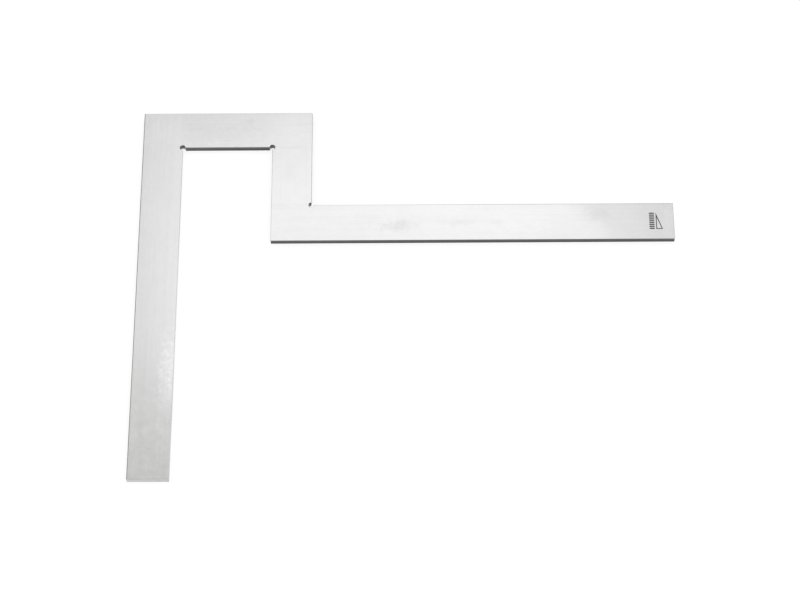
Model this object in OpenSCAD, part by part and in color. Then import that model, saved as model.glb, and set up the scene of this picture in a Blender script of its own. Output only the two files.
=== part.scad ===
// Stepped flange square of flat steel bar.
// The long arm lies along a pipe, the long leg lies across the face of the flange,
// and the recess between the two legs clears the flange's rim.
// The square lies flat on Z = 0, with the origin under the middle of its bounding box.

/* [Flat bar] */
// Width of the flat bar
bar_w = 30; // [20:1:40]
// Thickness of the flat bar
bar_t = 5; // [4:0.5:8]

/* [Square] */
// Length of the long leg, over the full height of the square
leg_len = 300; // [200:5:500]
// Length of the long arm, from the recess to its free end
arm_len = 300; // [200:5:500]
// Clear width of the recess, between the long leg and the short leg
recess_w = 68; // [40:1:120]
// Clear depth of the recess, from the bridge to the outer edge of the arm
recess_d = 80; // [60:1:120]

/* [Corners] */
// Radius of the relief drilled at each inner corner
relief_r = 2; // [2:0.1:4]
// Width of each weld where it is ground flush with the faces
weld_w = 3; // [2:0.5:3.5]
// Gap between the two bars at the root of each weld
root_gap = 1; // [0.5:0.1:1.5]

/* [Hidden] */

// Segments in a full turn of a relief
relief_segments = 64;
// How far a cutting solid runs past the surface that it cuts
past = 1;

overall_w = bar_w + recess_w + arm_len;

// Left edge of the long leg, and the upper edge of the bridge
left = -overall_w / 2;
top = leg_len / 2;
// Corners of the recess
recess_left = left + bar_w;
recess_right = recess_left + recess_w;
recess_top = top - bar_w;
recess_bottom = recess_top - recess_d;
// Right edge of the short leg, and the upper edge of the arm
step_right = recess_right + bar_w;
arm_top = recess_bottom + bar_w;

// Each joint is a seam that runs from an outer edge, over the bar's width, to the relief at the inner corner.
// A joint is [inner corner, turn], where the turn about Z aims the seam's inner end.
LEG_JOINT = [[recess_left, recess_top], 0];
BRIDGE_JOINT = [[recess_right, recess_top], -90];
ARM_JOINT = [[step_right, arm_top], 90];

STEEL = [0.78, 0.79, 0.79];
WELD_STEEL = [0.70, 0.71, 0.72];

// Places its children at a joint, with the seam along Y and its inner end at the origin
module at_joint(joint) {
  translate([joint[0].x, joint[0].y, 0])
    rotate([0, 0, joint[1]])
      children();
}

// Section of a double-V weld across the seam, carried past both faces of the bar by `extra`
module weld_section(extra) {
  slope = (weld_w - root_gap) / bar_t;
  half_h = bar_t / 2 + extra;
  half_w = root_gap / 2 + slope * half_h;
  polygon([
    [-half_w, half_h], [-root_gap / 2, 0], [-half_w, -half_h],
    [half_w, -half_h], [root_gap / 2, 0], [half_w, half_h]
  ]);
}

// The weld's full run along the seam, from the inner corner outwards
module weld_run(extra) {
  translate([0, 0, bar_t / 2])
    rotate([90, 0, 180])
      linear_extrude(bar_w + extra)
        weld_section(extra);
}

// The drilled relief at the inner corner of a joint
module relief() {
  translate([0, 0, -past])
    cylinder(h = bar_t + 2 * past, r = relief_r, $fn = relief_segments);
}

// A straight length of flat bar between two opposite corners, prepared for the joints that it meets
module flat_bar(low, high, joints) {
  color(STEEL)
    difference() {
      translate([low.x, low.y, 0])
        cube([high.x - low.x, high.y - low.y, bar_t]);
      for (joint = joints)
        at_joint(joint) {
          weld_run(past);
          relief();
        }
    }
}

// The weld metal of one joint, ground flush, and drilled through with the relief at its inner end
module corner_weld(joint) {
  color(WELD_STEEL)
    at_joint(joint)
      difference() {
        weld_run(0);
        relief();
      }
}

// The leg that lies across the flange's face
module long_leg() {
  flat_bar([left, top - leg_len], [recess_left, top], [LEG_JOINT]);
}

// The bar over the recess
module bridge() {
  flat_bar([recess_left, recess_top], [step_right, top], [LEG_JOINT, BRIDGE_JOINT]);
}

// The bar that steps down from the bridge to the arm
module short_leg() {
  flat_bar([recess_right, arm_top], [step_right, recess_top], [BRIDGE_JOINT, ARM_JOINT]);
}

// The bar that lies along the pipe
module long_arm() {
  flat_bar([recess_right, recess_bottom], [recess_right + arm_len, arm_top], [ARM_JOINT]);
}

module leg_weld() {
  corner_weld(LEG_JOINT);
}

module bridge_weld() {
  corner_weld(BRIDGE_JOINT);
}

module arm_weld() {
  corner_weld(ARM_JOINT);
}

long_leg();
bridge();
short_leg();
long_arm();
leg_weld();
bridge_weld();
arm_weld();
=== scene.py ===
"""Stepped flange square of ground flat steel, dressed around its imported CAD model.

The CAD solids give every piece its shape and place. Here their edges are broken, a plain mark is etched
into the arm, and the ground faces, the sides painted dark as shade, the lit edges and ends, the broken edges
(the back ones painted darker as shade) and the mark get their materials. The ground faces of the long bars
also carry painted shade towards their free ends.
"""
import math

import bmesh
import bpy
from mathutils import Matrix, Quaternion, Vector


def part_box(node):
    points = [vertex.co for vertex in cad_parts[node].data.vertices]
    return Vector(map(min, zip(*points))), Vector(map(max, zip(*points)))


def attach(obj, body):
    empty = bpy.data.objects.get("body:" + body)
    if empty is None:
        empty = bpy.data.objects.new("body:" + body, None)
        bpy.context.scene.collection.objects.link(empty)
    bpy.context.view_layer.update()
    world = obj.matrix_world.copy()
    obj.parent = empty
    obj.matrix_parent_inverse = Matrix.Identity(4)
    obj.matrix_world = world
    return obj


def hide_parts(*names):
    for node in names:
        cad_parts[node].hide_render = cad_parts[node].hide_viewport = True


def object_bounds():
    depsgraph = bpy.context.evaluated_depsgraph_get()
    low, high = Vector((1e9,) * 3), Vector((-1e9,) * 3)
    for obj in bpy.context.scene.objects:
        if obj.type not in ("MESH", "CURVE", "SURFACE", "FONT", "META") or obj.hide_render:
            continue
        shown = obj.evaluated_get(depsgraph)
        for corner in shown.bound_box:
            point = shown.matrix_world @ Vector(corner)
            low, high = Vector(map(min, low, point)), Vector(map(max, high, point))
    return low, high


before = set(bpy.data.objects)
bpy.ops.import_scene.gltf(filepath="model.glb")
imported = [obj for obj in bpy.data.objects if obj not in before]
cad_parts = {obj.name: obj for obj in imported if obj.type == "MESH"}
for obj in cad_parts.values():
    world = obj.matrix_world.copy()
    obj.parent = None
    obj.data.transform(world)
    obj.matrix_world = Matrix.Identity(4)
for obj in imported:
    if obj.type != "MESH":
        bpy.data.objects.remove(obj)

cad_low, cad_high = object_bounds()
MM = 0.001

# Each piece's grain axis, and how bright its ground face is
BARS = {"long_leg": ("Y", 0.81), "bridge": ("X", 0.82), "short_leg": ("Y", 0.825), "long_arm": ("X", 0.82)}
WELDS = {"leg_weld": ("Y", 0.805), "bridge_weld": ("X", 0.815), "arm_weld": ("X", 0.815)}
# The way that the free end of each long bar looks
FREE_ENDS = {"long_leg": Vector((0, -1, 0)), "long_arm": Vector((1, 0, 0))}

leg_low, leg_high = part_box("long_leg")
arm_low, arm_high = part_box("long_arm")
leg_mid_x = (leg_low.x + leg_high.x) / 2
arm_mid_y = (arm_low.y + arm_high.y) / 2

# The broken edges. The two working edges, along the pipe and across the flange, are kept nearly sharp,
# and the two edges opposite to them, where the square is held, are broken most.
PLAIN_BREAK = 0.25 * MM
BACK_BREAK = 0.60 * MM
WORKING_BREAK = 0.06 * MM
LOWER_BREAK = 0.10 * MM
BREAK_SEGMENTS = 2


# ---------------------------------------------------------------- camera

AIM = (cad_low + cad_high) / 2 + Vector((-5.1, -8.5, 0)) * MM
CAMERA_DISTANCE = 1.7346
CAMERA_AZIMUTH = math.radians(0.23)
CAMERA_ELEVATION = math.radians(63.50)
CAMERA_ROLL = math.radians(-0.51)
LENS_MM = 106.48
SENSOR_MM = 36.0
# How near to the camera and how far from it things are drawn
CLIP_NEAR = 0.05
CLIP_FAR = 20


def make_camera():
    """The camera, aimed a little off the middle of the square, as in the photo."""
    back = Vector((
        math.sin(CAMERA_AZIMUTH) * math.cos(CAMERA_ELEVATION),
        -math.cos(CAMERA_AZIMUTH) * math.cos(CAMERA_ELEVATION),
        math.sin(CAMERA_ELEVATION),
    ))
    data = bpy.data.cameras.new("camera")
    data.sensor_fit = "HORIZONTAL"
    data.sensor_width = SENSOR_MM
    data.lens = LENS_MM
    data.clip_start = CLIP_NEAR
    data.clip_end = CLIP_FAR
    camera = bpy.data.objects.new("camera", data)
    camera.location = AIM + back * CAMERA_DISTANCE
    camera.rotation_mode = "QUATERNION"
    camera.rotation_quaternion = back.to_track_quat("Z", "Y") @ Quaternion((0, 0, 1), CAMERA_ROLL)
    bpy.context.scene.collection.objects.link(camera)
    bpy.context.scene.camera = camera


# ---------------------------------------------------------------- node helpers

# How deep the bump of every metal is
BUMP_DEPTH = 0.02 * MM


class Graph:
    """A short way to build one material's node tree."""

    def __init__(self, tree):
        self.tree = tree
        self.tree.nodes.clear()

    def node(self, kind, **settings):
        made = self.tree.nodes.new(kind)
        for name, value in settings.items():
            setattr(made, name, value)
        return made

    def set(self, socket, value):
        """Links an output to the socket, or gives the socket a plain value."""
        if isinstance(value, bpy.types.NodeSocket):
            self.tree.links.new(value, socket)
        elif isinstance(value, tuple) and socket.type == "RGBA":
            socket.default_value = (*value, 1)
        else:
            socket.default_value = value

    def place(self):
        """The point's place in the frame of the square, in metres."""
        return self.node("ShaderNodeTexCoord").outputs["Object"]

    def axis(self, vector, name):
        made = self.node("ShaderNodeSeparateXYZ")
        self.set(made.inputs["Vector"], vector)
        return made.outputs[name]

    def turned(self, vector, degrees, shift=(0, 0, 0)):
        """Coordinates turned about Z and then shifted."""
        made = self.node("ShaderNodeMapping", vector_type="POINT")
        self.set(made.inputs["Vector"], vector)
        self.set(made.inputs["Rotation"], (0, 0, math.radians(degrees)))
        self.set(made.inputs["Location"], shift)
        return made.outputs["Vector"]

    def scaled(self, vector, scale):
        """Coordinates multiplied by a scale per axis."""
        made = self.node("ShaderNodeMapping", vector_type="POINT")
        self.set(made.inputs["Vector"], vector)
        self.set(made.inputs["Scale"], scale)
        return made.outputs["Vector"]

    def noise(self, vector, scale, detail=2.0, roughness=0.5):
        """A noise value around 0.5, with about `scale` waves per unit of the coordinates."""
        made = self.node("ShaderNodeTexNoise", noise_dimensions="3D")
        self.set(made.inputs["Scale"], scale)
        self.set(made.inputs["Detail"], detail)
        self.set(made.inputs["Roughness"], roughness)
        self.set(made.inputs["Vector"], vector)
        return made.outputs["Fac"]

    def ramp(self, value, low, high, start=0.0, end=1.0, smooth=True):
        """The value carried from low..high to start..end, and held there outside."""
        made = self.node("ShaderNodeMapRange", clamp=True)
        made.interpolation_type = "SMOOTHSTEP" if smooth else "LINEAR"
        for name, number in (("From Min", low), ("From Max", high), ("To Min", start), ("To Max", end)):
            self.set(made.inputs[name], number)
        self.set(made.inputs["Value"], value)
        return made.outputs["Result"]

    def swing(self, noise, amount):
        """The middle of a noise's range carried evenly to -amount..amount."""
        return self.ramp(noise, 0.3, 0.7, -amount, amount, smooth=False)

    def math(self, operation, first, second):
        made = self.node("ShaderNodeMath", operation=operation)
        self.set(made.inputs[0], first)
        self.set(made.inputs[1], second)
        return made.outputs["Value"]

    def total(self, first, *others):
        for other in others:
            first = self.math("ADD", first, other)
        return first

    def mix(self, factor, first, second, blend="MIX"):
        made = self.node("ShaderNodeMix", data_type="RGBA", blend_type=blend)
        self.set(made.inputs[0], factor)
        self.set(made.inputs[6], first)
        self.set(made.inputs[7], second)
        return made.outputs[2]

    def tinted(self, base, tone):
        """The base colour, multiplied by a tone around 1."""
        grey = self.node("ShaderNodeCombineColor")
        for name in ("Red", "Green", "Blue"):
            self.set(grey.inputs[name], tone)
        return self.mix(1.0, base, grey.outputs["Color"], "MULTIPLY")

    def metal(self, colour, rough, height, strength):
        """Ends the material in metal with a fine bump."""
        bump = self.node("ShaderNodeBump")
        self.set(bump.inputs["Strength"], strength)
        self.set(bump.inputs["Distance"], BUMP_DEPTH)
        self.set(bump.inputs["Height"], height)
        shader = self.node("ShaderNodeBsdfPrincipled")
        self.set(shader.inputs["Metallic"], 1.0)
        self.set(shader.inputs["Base Color"], colour)
        self.set(shader.inputs["Roughness"], rough)
        self.set(shader.inputs["Normal"], bump.outputs["Normal"])
        self.set(self.node("ShaderNodeOutputMaterial").inputs["Surface"], shader.outputs["BSDF"])


def new_material(name):
    material = bpy.data.materials.new(name)
    material.use_nodes = True
    return material, Graph(material.node_tree)


# ---------------------------------------------------------------- steel

# Patches of tone on the ground faces, as (x, y, half length, half width) in millimetres and how much darker
# the face is. Most are finger smudges. Where the tone is below zero, the face is lighter than around it.
TONE_PATCHES = {
    "long_leg": [(-190, 140, 22, 22, -0.023), (-169, -92, 14, 64, -0.075)],
    "bridge": [(-118, 143, 5, 4, 0.025), (-147, 136, 50, 30, 0.035), (-88, 142, 20, 20, -0.027)],
    "short_leg": [(-87, 99, 7, 10, 0.016)],
    "long_arm": [
        (-5, 52, 18, 7, 0.060), (38, 54, 15, 4, 0.035), (67, 54, 7, 4, 0.030), (-28, 56, 16, 12, 0.014),
        (84, 55, 34, 16, -0.022), (141, 62, 13, 9, 0.035), (199, 55, 12, 24, -0.075),
    ],
}

# The free ends, darkened towards the end as painted shade for the fall-off of the overhead light, with a
# slight
# tint and a little more roughness: how far from the end the darkening begins and is complete, how much its
# border leans across the bar, how much darker it makes the face, and its tint
END_SHADE_AND_TINT = {
    "long_leg": {
        "begins": 110 * MM, "complete": 20 * MM, "lean": 1.1,
        "darker": (-0.025, 0.105), "tint": (1.0, 1.0, 0.975),
    },
    "long_arm": {
        "begins": 72 * MM, "complete": 46 * MM, "lean": 0.7,
        "darker": (0.0, 0.040), "tint": (1.0, 0.995, 0.995),
    },
}
# How far the border of the darkened end wanders to each side
END_SHADE_WANDER = 12 * MM


def patch_tone(g, place, patches):
    """How much darker the patches make the face. Their edges are ragged and their insides cloudy."""
    wobble = g.noise(place, 260, 3.0, 0.6)
    cloud = g.noise(g.turned(place, 20), 420, 3.0, 0.6)
    tone = 0.0
    for x, y, half_length, half_width, depth in patches:
        spot = g.node("ShaderNodeMapping", vector_type="TEXTURE")
        g.set(spot.inputs["Vector"], place)
        g.set(spot.inputs["Location"], (x * MM, y * MM, 0))
        g.set(spot.inputs["Scale"], (half_length * MM, half_width * MM, 1))
        away = g.node("ShaderNodeVectorMath", operation="LENGTH")
        g.set(away.inputs[0], spot.outputs["Vector"])
        edge = g.total(away.outputs["Value"], g.ramp(wobble, 0.25, 0.75, -0.35, 0.35, smooth=False))
        mask = g.math("MULTIPLY", g.ramp(edge, 0.0, 1.15, 1.0, 0.0), g.ramp(cloud, 0.3, 0.7, 0.65, 1.0))
        tone = g.total(tone, g.math("MULTIPLY", mask, depth))
    return tone


def end_shade_and_tint_mask(g, place, node):
    """0 on the rest of the face and 1 at the free end, where it carries painted shade, a slight tint and more
    roughness.
    """
    end = END_SHADE_AND_TINT[node]
    border = g.noise(place, 55, 3.0, 0.55)
    wander = g.ramp(border, 0.25, 0.75, -END_SHADE_WANDER, END_SHADE_WANDER, smooth=False)
    along_x, along_y = g.axis(place, "X"), g.axis(place, "Y")
    if node == "long_arm":
        lean = g.math("MULTIPLY", g.math("SUBTRACT", along_y, arm_mid_y), end["lean"])
        return g.ramp(
            g.total(along_x, lean, wander), arm_high.x - end["begins"], arm_high.x - end["complete"])
    lean = g.math("MULTIPLY", g.math("SUBTRACT", along_x, leg_mid_x), end["lean"])
    return g.ramp(g.total(along_y, lean, wander), leg_low.y + end["begins"], leg_low.y + end["complete"])


def ground_face(node, along, bright, shift):
    """Ground face of a bar: long fine grain, wider streaks, blotches, hairline scratches, finger marks, and
    on the long bars painted shade towards the free ends.
    """
    material, g = new_material("ground_" + node)
    place = g.place()

    def grain(lengthwise, across, turn=0.0):
        scale = (lengthwise, across, across) if along == "X" else (across, lengthwise, across)
        return g.scaled(g.turned(place, turn, shift), scale)

    def cloud(size, turn=0.0):
        return g.noise(g.turned(place, turn, shift), size, 3.0, 0.6)

    fine = g.noise(grain(70, 5200), 1.0, 3.0, 0.6)
    streaks = g.noise(grain(14, 900), 1.0, 2.0, 0.55)
    bands = g.noise(grain(6, 160), 1.0, 2.0, 0.5)
    broad = cloud(28)
    mottle = cloud(150, 30)
    speckle = cloud(700, 55)
    scratch_a = g.ramp(g.noise(grain(22, 3400, 7), 1.0, 1.0), 0.74, 0.80)
    scratch_b = g.ramp(g.noise(grain(30, 2600, -13), 1.0, 1.0), 0.76, 0.82)
    scratches = g.math("MAXIMUM", scratch_a, scratch_b)

    base = (bright, bright, bright)
    tone = g.total(
        1.0, g.swing(fine, 0.020), g.swing(streaks, 0.012), g.swing(bands, 0.010),
        g.swing(broad, 0.014), g.swing(mottle, 0.010), g.swing(speckle, 0.008),
    )
    rough = g.ramp(fine, 0.25, 0.75, 0.15, 0.21, smooth=False)
    if node in TONE_PATCHES:
        patches = patch_tone(g, place, TONE_PATCHES[node])
        tone = g.math("SUBTRACT", tone, patches)
        rough = g.total(rough, g.math("MULTIPLY", patches, 1.2))
    # Painted shade: the face darkens towards the free end of a long bar, with a slight tint and a little more
    # roughness.
    if node in END_SHADE_AND_TINT:
        end = END_SHADE_AND_TINT[node]
        end_shade_and_tint = end_shade_and_tint_mask(g, place, node)
        darker = g.ramp(mottle, 0.3, 0.7, *end["darker"], smooth=False)
        tone = g.math("SUBTRACT", tone, g.math("MULTIPLY", end_shade_and_tint, darker))
        rough = g.total(rough, g.math("MULTIPLY", end_shade_and_tint, 0.03))
        tinting = g.math("MULTIPLY", end_shade_and_tint, g.ramp(broad, 0.35, 0.65, 0.2, 1.0))
        base = g.mix(tinting, base, tuple(bright * part for part in end["tint"]))
    rough = g.total(rough, g.math("MULTIPLY", scratches, -0.04))
    height = g.total(fine, g.math("MULTIPLY", scratches, -0.6), g.math("MULTIPLY", streaks, 0.5))
    g.metal(g.tinted(base, tone), rough, height, 0.2)
    return material


def bar_edge(name, base, underside_shade, rough_low, rough_high):
    """Side or end of the bar: fine lines along it, a little mottling, and painted shade that darkens it
    towards the underside.
    """
    material, g = new_material(name)
    place = g.place()
    lines = g.noise(g.scaled(place, (60, 60, 4200)), 1.0, 3.0, 0.6)
    tone = g.total(
        g.ramp(lines, 0.25, 0.75, 0.90, 1.10),
        g.swing(g.noise(place, 14, 2.0, 0.5), 0.12),
        g.ramp(g.noise(place, 160, 3.0, 0.6), 0.3, 0.7, -0.06, 0.06),
        # Painted shade: darker towards the underside, where the floor beside the bar lies in shade.
        g.ramp(g.axis(place, "Z"), cad_low.z, cad_high.z, -underside_shade, underside_shade, smooth=False),
    )
    g.metal(g.tinted(base, tone), g.ramp(lines, 0.25, 0.75, rough_low, rough_high), lines, 0.25)
    return material


def broken_edge(name, bright):
    """Steel of the broken edges, brighter where it is rubbed and darker in the nicks."""
    material, g = new_material(name)
    place = g.place()
    rubbed = g.noise(place, 90, 4.0, 0.6)
    nicks = g.noise(g.turned(place, 40), 900, 2.0, 0.6)
    tone = g.total(g.ramp(rubbed, 0.3, 0.7, 0.80, 1.05), g.ramp(nicks, 0.60, 0.72, 0.0, -0.25))
    g.metal(g.tinted((bright, bright, bright), tone), g.ramp(nicks, 0.3, 0.7, 0.25, 0.40), nicks, 0.2)
    return material


def etched():
    """Dark oxide of the etched mark, matt and slightly uneven."""
    material, g = new_material("etched_mark")
    speckle = g.noise(g.place(), 3500, 2.0, 0.6)
    shader = g.node("ShaderNodeBsdfPrincipled")
    dark, light = (0.05, 0.05, 0.05), (0.12, 0.12, 0.12)
    g.set(shader.inputs["Base Color"], g.mix(g.ramp(speckle, 0.3, 0.7), dark, light))
    g.set(shader.inputs["Roughness"], g.ramp(speckle, 0.3, 0.7, 0.6, 0.8))
    g.set(g.node("ShaderNodeOutputMaterial").inputs["Surface"], shader.outputs["BSDF"])
    return material


# ---------------------------------------------------------------- pieces

# The places of a piece's materials: ground face, side painted dark as shade, lit edge or end, broken edge,
# and the broken edge opposite to a working edge, painted darker as shade
FACE, SHADED_SIDE, LIT_EDGE, BROKEN, SHADED_BROKEN = range(5)
# How nearly a face has to look along an axis to count as lying square to it
SQUARE_ON = 0.999
# How far off its place a face may lie and still count as being there
PLACE_SLACK = 0.1 * MM
# A face between these two is neither level nor upright
UPRIGHT_Z = 0.05
LEVEL_Z = 0.95
# Faces smaller than this, in square metres, belong to the curved wall of a relief
RELIEF_FACET = 20 * MM * MM
# Faces that meet at less than this angle belong to one curved wall
SHARP_ANGLE = math.radians(30)
# Edges that lie wholly below this height are on the underside
LOWER_HEIGHT = 0.5 * MM
# Points closer than this are one point, in a CAD mesh and in the mark
CAD_MERGE = 1e-6
MARK_MERGE = 1e-7


def is_slanted(face):
    """Only the prepared walls of a weld are neither level nor upright."""
    return UPRIGHT_Z < abs(face.normal.z) < LEVEL_Z


def is_level(face):
    return abs(face.normal.z) > SQUARE_ON


def solid_of(node):
    """The CAD node's solid as one clean mesh, with its flat faces whole."""
    bm = bmesh.new()
    bm.from_mesh(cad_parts[node].data)
    bmesh.ops.remove_doubles(bm, verts=bm.verts, dist=CAD_MERGE)
    bmesh.ops.dissolve_limit(bm, angle_limit=math.radians(1), verts=bm.verts, edges=bm.edges)
    bm.normal_update()
    return bm


def faces_along(face, direction, corner):
    """Whether the face looks in the direction and lies as far along it as the corner."""
    apart = (face.calc_center_median() - corner).dot(direction)
    return face.normal.dot(direction) > SQUARE_ON and abs(apart) < PLACE_SLACK


def is_pipe_edge(face):
    return faces_along(face, Vector((0, -1, 0)), arm_low)


def is_flange_edge(face):
    return faces_along(face, Vector((1, 0, 0)), leg_high)


def is_back_edge(face):
    """Whether the face is the outer edge of the long leg or the upper edge of the arm."""
    return faces_along(face, Vector((-1, 0, 0)), leg_low) or faces_along(face, Vector((0, 1, 0)), arm_high)


def assign_materials(bm, free_end):
    """Gives each face its material, and smooths the wall of the reliefs."""
    for face in bm.faces:
        # Sides take the steel painted dark, as painted shade and painted reflection of dark surroundings. The
        # flange edge and the free ends take the lit copy of that steel.
        lit_edge = is_flange_edge(face) or free_end is not None and face.normal.dot(free_end) > SQUARE_ON
        face.material_index = FACE if is_level(face) else LIT_EDGE if lit_edge else SHADED_SIDE
        face.smooth = not is_level(face) and not is_slanted(face) and face.calc_area() < RELIEF_FACET


def edge_kind(edge):
    """The size that the edge is broken to, or None where it stays sharp: where a bar and a weld meet."""
    if edge.calc_face_angle(0) < SHARP_ANGLE or any(is_slanted(face) for face in edge.link_faces):
        return None
    if max(vert.co.z for vert in edge.verts) < LOWER_HEIGHT:
        return LOWER_BREAK
    if not any(is_level(face) for face in edge.link_faces):
        return PLAIN_BREAK
    if any(is_pipe_edge(face) or is_flange_edge(face) for face in edge.link_faces):
        return WORKING_BREAK
    return BACK_BREAK if any(is_back_edge(face) for face in edge.link_faces) else PLAIN_BREAK


def break_edges(bm):
    """Rounds every sharp edge, and gives the new narrow faces their material."""
    # The back breaks take the broken-edge steel painted darker as shade. The lower breaks take the side steel
    # painted dark, a painted shade line along the underside.
    for size, material in (
        (PLAIN_BREAK, BROKEN), (BACK_BREAK, SHADED_BROKEN), (WORKING_BREAK, BROKEN), (LOWER_BREAK, SHADED_SIDE),
    ):
        made = bmesh.ops.bevel(
            bm, geom=[edge for edge in bm.edges if edge_kind(edge) == size], offset=size,
            segments=BREAK_SEGMENTS, profile=0.5, affect="EDGES", clamp_overlap=False, material=material,
        )
        for face in made["faces"]:
            face.smooth = True
        bm.normal_update()


def add_piece(name, bm, materials, slot, *nodes):
    """Makes the mesh a piece that rides on the square and replaces the given CAD nodes."""
    mesh = bpy.data.meshes.new(name)
    bm.to_mesh(mesh)
    bm.free()
    for material in materials:
        mesh.materials.append(material)
    piece = bpy.data.objects.new(name, mesh)
    bpy.context.scene.collection.objects.link(piece)
    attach(piece, "root")
    if nodes:
        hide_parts(*nodes)
    return piece


# ---------------------------------------------------------------- mark on the arm

# The mark, in millimetres: a ladder of equal ticks, and beside it the outline of a plain set square
MARK_FROM_TIP = 18.4
MARK_HEIGHT = 13.8
TICKS = 9
TICK_HEIGHT = 1.05
TICK_LENGTH = 3.8
SIGN_AT = 4.9
SIGN_WIDTH = 5.0
SIGN_STROKE = 0.7
# How deep the mark is etched, and how far its dark oxide lies under the face
ETCH_DEPTH = 0.05
OXIDE_DEPTH = 0.015
# How far the oxide keeps off the walls of the etching
OXIDE_GAP = 0.01
# How far the cutting solid stands proud of the face
CUTTER_PROUD = 1


def set_square(inset):
    """The right-angled triangle of the small sign, with each side drawn in by `inset`."""
    inner_radius = (SIGN_WIDTH + MARK_HEIGHT - math.hypot(SIGN_WIDTH, MARK_HEIGHT)) / 2
    shrink = 1 - inset / inner_radius
    left, low = SIGN_AT + inset, inset
    return [(left, low), (left + SIGN_WIDTH * shrink, low), (left, low + MARK_HEIGHT * shrink)]


def mark_faces(inset):
    """Flat faces of the mark, each a list of (x, y) from its lower corner nearest the recess."""
    faces = []
    for i in range(TICKS):
        low = i * (MARK_HEIGHT - TICK_HEIGHT) / (TICKS - 1)
        right, bottom, top = TICK_LENGTH - inset, low + inset, low + TICK_HEIGHT - inset
        faces.append([(inset, bottom), (right, bottom), (right, top), (inset, top)])
    outer, inner = set_square(inset), set_square(SIGN_STROKE - inset)
    for i in range(len(outer)):
        j = (i + 1) % len(outer)
        faces.append([outer[i], outer[j], inner[j], inner[i]])
    return faces


def mark_solid(inset, low, high):
    """The mark's faces as closed solids between two heights, in metres."""
    origin = Vector((arm_high.x - MARK_FROM_TIP * MM, arm_mid_y - MARK_HEIGHT / 2 * MM, low))
    bm = bmesh.new()
    for face in mark_faces(inset):
        bm.faces.new([bm.verts.new(origin + Vector((x, y, 0)) * MM) for x, y in face])
    bmesh.ops.remove_doubles(bm, verts=bm.verts, dist=MARK_MERGE)
    raised = bmesh.ops.extrude_face_region(bm, geom=list(bm.faces), use_keep_orig=True)
    top = [part for part in raised["geom"] if isinstance(part, bmesh.types.BMVert)]
    bmesh.ops.translate(bm, verts=top, vec=(0, 0, high - low))
    bmesh.ops.recalc_face_normals(bm, faces=bm.faces)
    return bm


def etch_mark(arm):
    """Cuts the mark into the arm's upper face, and lays its dark oxide in the cut."""
    face_z = cad_high.z
    cutter_mesh = bpy.data.meshes.new("mark_cutter")
    solid = mark_solid(0, face_z - ETCH_DEPTH * MM, face_z + CUTTER_PROUD * MM)
    solid.to_mesh(cutter_mesh)
    solid.free()
    cutter = bpy.data.objects.new("mark_cutter", cutter_mesh)
    bpy.context.scene.collection.objects.link(cutter)
    cut = arm.modifiers.new("mark", "BOOLEAN")
    cut.operation = "DIFFERENCE"
    cut.solver = "EXACT"
    cut.object = cutter
    bpy.context.view_layer.update()
    plain = arm.data
    arm.data = bpy.data.meshes.new_from_object(arm.evaluated_get(bpy.context.evaluated_depsgraph_get()))
    arm.modifiers.clear()
    arm.data.name = arm.name
    bpy.data.meshes.remove(plain)
    bpy.data.objects.remove(cutter)
    bpy.data.meshes.remove(cutter_mesh)
    oxide = mark_solid(OXIDE_GAP, face_z - ETCH_DEPTH * MM, face_z - OXIDE_DEPTH * MM)
    add_piece("etched_mark", oxide, [etched()], "etched_mark")


# ---------------------------------------------------------------- stage

FLOOR_HALF = 4.0
# The floor lies this far under the square
FLOOR_DROP = 0.1 * MM
# The floor glows, so that it is white and nearly without shadows
FLOOR_GREY = 0.35
FLOOR_GLOW = 0.80
WORLD_STRENGTH = 0.69

# Soft lights that point straight down, as (place, width, height, power)
LIGHTS = {
    "softbox": ((-0.010, 0.815, 1.50), 0.76, 0.47, 0.484),
    "strip_light": ((0.089, 1.037, 1.50), 0.32, 0.05, 0.076),
}


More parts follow.
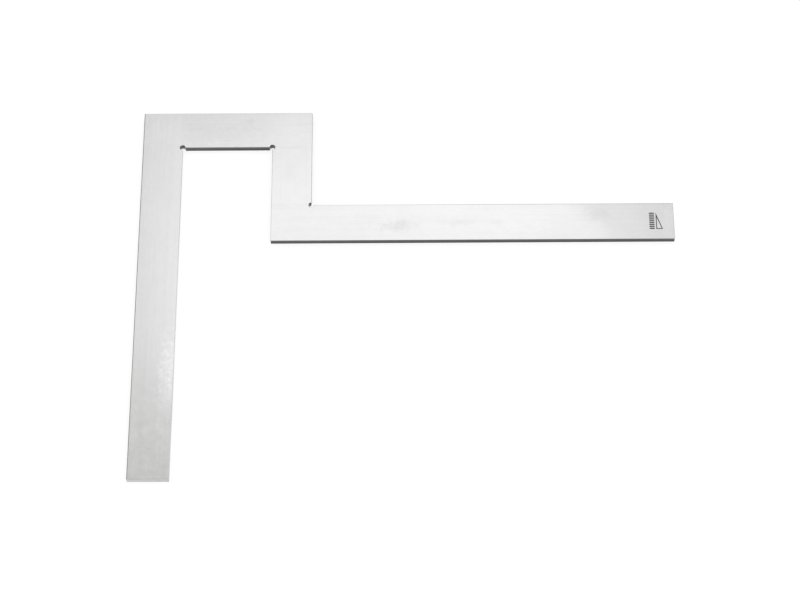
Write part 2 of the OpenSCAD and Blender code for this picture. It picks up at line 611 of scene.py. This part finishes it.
def make_floor():
    bm = bmesh.new()
    corners = ((-1, -1), (1, -1), (1, 1), (-1, 1))
    bm.faces.new([bm.verts.new((x * FLOOR_HALF, y * FLOOR_HALF, 0)) for x, y in corners])
    mesh = bpy.data.meshes.new("floor")
    bm.to_mesh(mesh)
    bm.free()
    material, g = new_material("floor")
    shader = g.node("ShaderNodeBsdfPrincipled")
    g.set(shader.inputs["Base Color"], (FLOOR_GREY, FLOOR_GREY, FLOOR_GREY))
    g.set(shader.inputs["Roughness"], 0.9)
    g.set(shader.inputs["Specular IOR Level"], 0.1)
    g.set(shader.inputs["Emission Color"], (1.0, 1.0, 1.0))
    g.set(shader.inputs["Emission Strength"], FLOOR_GLOW)
    g.set(g.node("ShaderNodeOutputMaterial").inputs["Surface"], shader.outputs["BSDF"])
    mesh.materials.append(material)
    floor = bpy.data.objects.new("floor", mesh)
    floor.location.z = -FLOOR_DROP
    bpy.context.scene.collection.objects.link(floor)


def make_studio():
    """White surroundings and the soft lights."""
    world = bpy.data.worlds.new("studio")
    world.use_nodes = True
    g = Graph(world.node_tree)
    background = g.node("ShaderNodeBackground")
    g.set(background.inputs["Color"], (1.0, 1.0, 1.0))
    g.set(background.inputs["Strength"], WORLD_STRENGTH)
    g.set(g.node("ShaderNodeOutputWorld").inputs["Surface"], background.outputs["Background"])
    bpy.context.scene.world = world
    for name, (place, width, height, power) in LIGHTS.items():
        data = bpy.data.lights.new(name, "AREA")
        data.shape = "RECTANGLE"
        data.size = width
        data.size_y = height
        data.energy = power
        light = bpy.data.objects.new(name, data)
        light.location = place
        bpy.context.scene.collection.objects.link(light)
    bpy.context.scene.view_settings.view_transform = "Standard"


# ---------------------------------------------------------------- build

make_camera()
make_floor()
make_studio()

# The side steel is painted dark as shade and reflection of dark surroundings, and the edge and end steel is
# its lit copy. Both are painted darker towards the underside as shade.
side = bar_edge("shaded_bar_side", (0.077, 0.084, 0.080), 0.42, 0.15, 0.24)
lit_edge = bar_edge("lit_edge_steel", (0.54, 0.54, 0.535), 0.14, 0.30, 0.42)
broken = broken_edge("broken_edge", 0.56)
# The back edges' breaks are a darker copy of the broken-edge steel: painted shade for the dark line along
# those edges.
shaded_broken = broken_edge("shaded_break", 0.34)
# How far the noise is shifted from one piece to the next, so that no two look alike
NOISE_SHIFT = (0.37, 0.53, 0)
pieces = {}
for number, (node, (along, bright)) in enumerate((BARS | WELDS).items()):
    solid = solid_of(node)
    assign_materials(solid, FREE_ENDS.get(node))
    break_edges(solid)
    face = ground_face(node, along, bright, tuple(number * step for step in NOISE_SHIFT))
    slot = "weld_metal" if node in WELDS else "ground_steel"
    pieces[node] = add_piece("steel_" + node, solid, [face, side, lit_edge, broken, shaded_broken], slot, node)
etch_mark(pieces["long_arm"])
